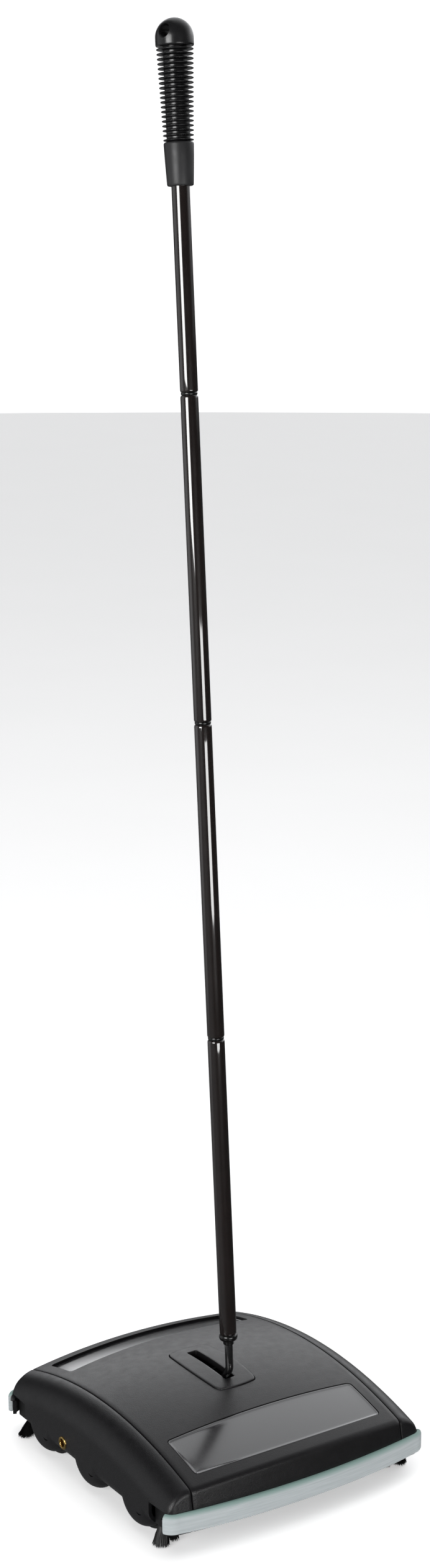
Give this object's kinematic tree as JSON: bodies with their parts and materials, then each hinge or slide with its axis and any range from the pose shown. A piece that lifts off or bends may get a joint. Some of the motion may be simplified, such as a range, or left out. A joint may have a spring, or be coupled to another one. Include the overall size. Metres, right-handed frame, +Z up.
{
  "type": "carpet sweeper",
  "caption": "Manual carpet sweeper: low arched housing with soft bumpers, corner brushes, rubber-bladed rotor, hinged dust pans and a tall sectioned handle.",
  "frame": {"origin": "on the floor under the middle of the housing, which is the bottom centre of the whole sweeper", "axes": "+Z up, -Y is the front that the sweeper is pushed towards, +X is its right-hand side seen from behind the handle; wheels and rotor turn about lines along X"},
  "size_m": [0.2412, 0.2658, 1.1015],
  "materials": {
    "cover_plastic": "satin charcoal, fine grain",
    "end_plastic": "dull dark charcoal, fine grain",
    "window_plastic": "clear smoke tint",
    "bumper_vinyl": "soft light grey vinyl",
    "block_plastic": "black moulded",
    "bristle_nylon": "black nylon bristle",
    "wheel_plastic": "black moulded",
    "tyre_rubber": "moulded rubber",
    "plate_steel": "pressed sheet",
    "pin_steel": "turned",
    "spring_steel": "wound wire",
    "brass": "polished",
    "pan_steel": "galvanised sheet",
    "blade_rubber": "soft rubber strip",
    "roller_rubber": "moulded rubber",
    "rod_steel": "gloss black enamel",
    "tube_paint": "gloss charcoal enamel",
    "joint_plastic": "black moulded",
    "collar_plastic": "matt black",
    "grip_plastic": "glossy black vinyl"
  },
  "bodies": {
    "housing": {"top_cover": "cover_plastic", "left_end_housing": "end_plastic", "right_end_housing": "end_plastic", "slot_plate": "cover_plastic", "front_window": "window_plastic", "rear_window": "window_plastic", "front_bumper": "bumper_vinyl", "rear_bumper": "bumper_vinyl", "front_left_brush_block": "block_plastic", "front_right_brush_block": "block_plastic", "rear_left_brush_block": "block_plastic", "rear_right_brush_block": "block_plastic", "front_left_bristles": "bristle_nylon", "front_right_bristles": "bristle_nylon", "rear_left_bristles": "bristle_nylon", "rear_right_bristles": "bristle_nylon", "left_bearing_plate": "plate_steel", "right_bearing_plate": "plate_steel", "wheel_axles": "pin_steel", "rotor_bushes": "brass", "roller_pins": "pin_steel", "left_brass_eyelet": "brass", "right_brass_eyelet": "brass", "front_pan_hinge_rod": "pin_steel", "rear_pan_hinge_rod": "pin_steel", "pan_springs": "spring_steel", "cross_braces": "plate_steel", "housing_screws": "pin_steel"},
    "handle": {"bail": "rod_steel", "handle_ferrule": "joint_plastic", "handle_tube_1": "tube_paint", "handle_tube_2": "tube_paint", "handle_tube_3": "tube_paint", "handle_tube_4": "tube_paint", "handle_joint_1": "joint_plastic", "handle_joint_2": "joint_plastic", "handle_joint_3": "joint_plastic", "grip_collar": "collar_plastic", "grip": "grip_plastic"},
    "rotor": {"rotor_shaft": "pin_steel", "rotor_core": "wheel_plastic", "rotor_blade_1": "blade_rubber", "rotor_blade_2": "blade_rubber", "rotor_blade_3": "blade_rubber", "rotor_blade_4": "blade_rubber", "left_friction_drum": "wheel_plastic", "right_friction_drum": "wheel_plastic"},
    "left_drive_roller": {"left_roller": "roller_rubber"},
    "right_drive_roller": {"right_roller": "roller_rubber"},
    "front_left_wheel": {"front_left_hub": "wheel_plastic", "front_left_tyre": "tyre_rubber"},
    "front_right_wheel": {"front_right_hub": "wheel_plastic", "front_right_tyre": "tyre_rubber"},
    "rear_left_wheel": {"rear_left_hub": "wheel_plastic", "rear_left_tyre": "tyre_rubber"},
    "rear_right_wheel": {"rear_right_hub": "wheel_plastic", "rear_right_tyre": "tyre_rubber"},
    "front_pan": {"front_dust_pan": "pan_steel"},
    "rear_pan": {"rear_dust_pan": "pan_steel"}
  },
  "joints": [
    {"name": "handle_swing", "type": "hinge", "parent": "housing", "child": "handle", "pos_m": [0, 0, 0.0465], "axis": [-1, 0, 0], "range_deg": [0, 76.5]},
    {"name": "rotor_spin", "type": "hinge", "parent": "housing", "child": "rotor", "pos_m": [0, 0, 0.0266], "axis": [1, 0, 0], "continuous": true},
    {"name": "left_roller_spin", "type": "hinge", "parent": "housing", "child": "left_drive_roller", "pos_m": [0, 0.033, 0.027], "axis": [1, 0, 0], "continuous": true},
    {"name": "right_roller_spin", "type": "hinge", "parent": "housing", "child": "right_drive_roller", "pos_m": [0, -0.033, 0.027], "axis": [1, 0, 0], "continuous": true},
    {"name": "front_left_wheel_spin", "type": "hinge", "parent": "housing", "child": "front_left_wheel", "pos_m": [0, -0.0694, 0.0266], "axis": [1, 0, 0], "continuous": true},
    {"name": "front_right_wheel_spin", "type": "hinge", "parent": "housing", "child": "front_right_wheel", "pos_m": [0, -0.0694, 0.0266], "axis": [1, 0, 0], "continuous": true},
    {"name": "rear_left_wheel_spin", "type": "hinge", "parent": "housing", "child": "rear_left_wheel", "pos_m": [0, 0.0694, 0.0266], "axis": [1, 0, 0], "continuous": true},
    {"name": "rear_right_wheel_spin", "type": "hinge", "parent": "housing", "child": "rear_right_wheel", "pos_m": [0, 0.0694, 0.0266], "axis": [1, 0, 0], "continuous": true},
    {"name": "front_pan_open", "type": "hinge", "parent": "housing", "child": "front_pan", "pos_m": [0, -0.1135, 0.025], "axis": [-1, 0, 0], "range_deg": [0, 62], "stiffness_Nm_per_rad": 0.25, "springref_deg": -45.84},
    {"name": "rear_pan_open", "type": "hinge", "parent": "housing", "child": "rear_pan", "pos_m": [0, 0.1135, 0.025], "axis": [1, 0, 0], "range_deg": [0, 62], "stiffness_Nm_per_rad": 0.25, "springref_deg": -45.84}
  ],
  "couplings": [
    {"joint": "left_roller_spin", "follows": "rotor_spin", "ratio": -2.4421},
    {"joint": "right_roller_spin", "follows": "rotor_spin", "ratio": -2.4421},
    {"joint": "rear_left_wheel_spin", "follows": "rotor_spin", "ratio": 0.8722},
    {"joint": "front_right_wheel_spin", "follows": "rotor_spin", "ratio": 0.8722}
  ]
}
